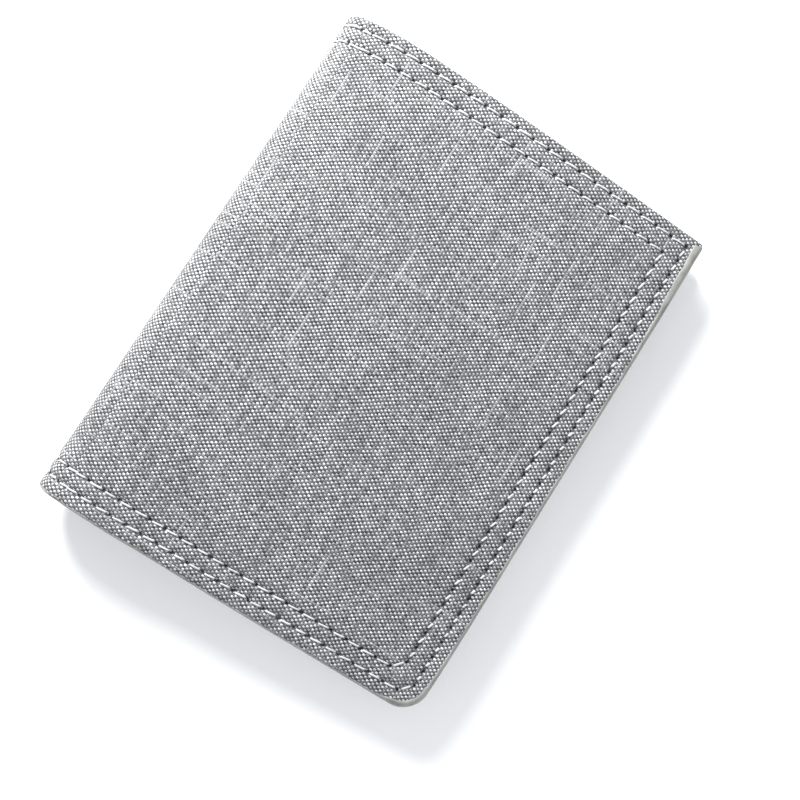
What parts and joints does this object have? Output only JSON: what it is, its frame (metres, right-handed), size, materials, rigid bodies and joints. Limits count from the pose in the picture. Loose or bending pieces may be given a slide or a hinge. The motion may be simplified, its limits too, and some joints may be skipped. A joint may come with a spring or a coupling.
{
  "type": "bifold wallet",
  "caption": "Vertical bifold wallet in grey canvas weave: two stitched leaves joined by a soft spine, with a note compartment, stepped card pockets and a clear window.",
  "frame": {"origin": "centre of the closed wallet's footprint, on the face it rests on (the back cover's outer face)", "axes": "+X from the spine to the free edge, +Y up the wallet to the open top edge, +Z through the closed wallet from the back cover to the front cover"},
  "size_m": [0.093, 0.12, 0.015],
  "materials": {
    "canvas": "grey plain weave, white and charcoal yarns, matte",
    "lining": "charcoal fine-woven lining, slight sheen",
    "board": "stiffening board, matte, hidden inside the cover",
    "thread": "light grey bonded sewing thread, slight gloss",
    "edge_paint": "warm light grey edge paint, satin, slightly uneven bead",
    "clear_film": "clear flexible film, glossy"
  },
  "bodies": {
    "back_leaf": {"back_card_panel": "canvas", "back_cover": "canvas", "back_edge_paint": "edge_paint", "back_inner_lining": "lining", "back_inner_seam": "thread", "back_inside_seam": "thread", "back_note_lining": "lining", "back_outer_seam": "thread", "back_pocket_1": "canvas", "back_pocket_1_thread": "thread", "back_pocket_2": "canvas", "back_pocket_2_thread": "thread", "back_pocket_3": "canvas", "back_pocket_3_thread": "thread", "back_spine_side_seam": "thread", "back_stiffener": "board", "back_top_hem": "canvas"},
    "spine_back_strip": {"spine_back_cover": "canvas", "spine_back_edge_paint": "edge_paint", "spine_back_inner_lining": "lining", "spine_back_note_lining": "lining"},
    "spine_front_strip": {"spine_front_cover": "canvas", "spine_front_edge_paint": "edge_paint", "spine_front_inner_lining": "lining", "spine_front_note_lining": "lining"},
    "front_leaf": {"front_card_panel": "canvas", "front_cover": "canvas", "front_edge_paint": "edge_paint", "front_inner_lining": "lining", "front_inner_seam": "thread", "front_inside_seam": "thread", "front_note_lining": "lining", "front_outer_seam": "thread", "front_pocket_1": "canvas", "front_pocket_1_thread": "thread", "front_pocket_2": "canvas", "front_pocket_2_thread": "thread", "front_spine_side_seam": "thread", "front_stiffener": "board", "front_top_hem": "canvas", "front_window_film": "clear_film", "front_window_frame": "canvas", "front_window_thread": "thread"}
  },
  "joints": [
    {"name": "fold_1", "type": "hinge", "parent": "back_leaf", "child": "spine_back_strip", "pos_m": [-0.0427, 0, 0.0023], "axis": [0, -1, 0], "range_deg": [0, 60]},
    {"name": "fold_2", "type": "hinge", "parent": "spine_back_strip", "child": "spine_front_strip", "pos_m": [-0.0457, 0, 0.0075], "axis": [0, -1, 0], "range_deg": [0, 60]},
    {"name": "fold_3", "type": "hinge", "parent": "spine_front_strip", "child": "front_leaf", "pos_m": [-0.0427, 0, 0.0127], "axis": [0, -1, 0], "range_deg": [0, 60]}
  ],
  "couplings": [
    {"joint": "fold_2", "follows": "fold_1", "ratio": 1},
    {"joint": "fold_3", "follows": "fold_1", "ratio": 1}
  ]
}
